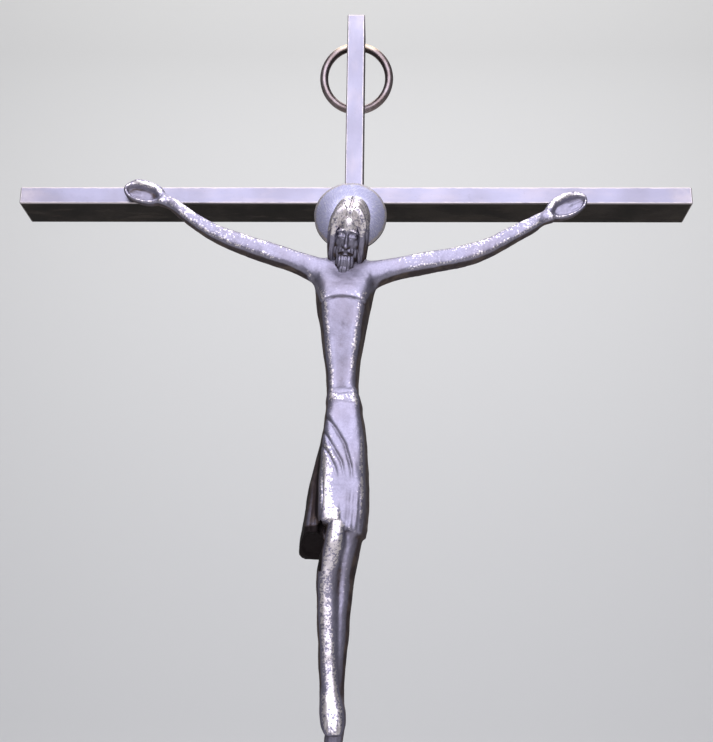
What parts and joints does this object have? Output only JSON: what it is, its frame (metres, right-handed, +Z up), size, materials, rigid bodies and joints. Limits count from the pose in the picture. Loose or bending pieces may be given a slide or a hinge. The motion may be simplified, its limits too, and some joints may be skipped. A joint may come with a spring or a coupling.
{
  "type": "wall crucifix",
  "caption": "Slim wall crucifix: flat bars on edge form the crossbar and upright, a slender cast figure forms the lower arm, with a halo disc and a swinging hanging ring behind.",
  "frame": {"origin": "middle of the crossbar's back face, where the cross lies against the wall", "axes": "+X to the right seen from the front, +Y out of the back into the wall, +Z up"},
  "size_m": [0.184, 0.0287, 0.204],
  "materials": {
    "bar": "brown patina, satin, drawn bar with rubbed edges",
    "ring": "brown patina, satin drawn wire",
    "halo": "brown patina, beaten field with rubbed rim",
    "rivet": "filed bare brass, dulled",
    "casting": "grainy sand casting, dark patina rubbed bright on the high places"
  },
  "bodies": {
    "cross": {"crossbar": "bar", "upright": "bar", "halo": "halo", "palm_rivets": "rivet", "figure": "casting"},
    "ring": {"hanging_ring": "ring"}
  },
  "joints": [
    {"name": "ring_swing", "type": "hinge", "parent": "cross", "child": "ring", "pos_m": [0, -0.003, 0.0528], "axis": [1, 0, 0], "range_deg": [0, 312]}
  ]
}
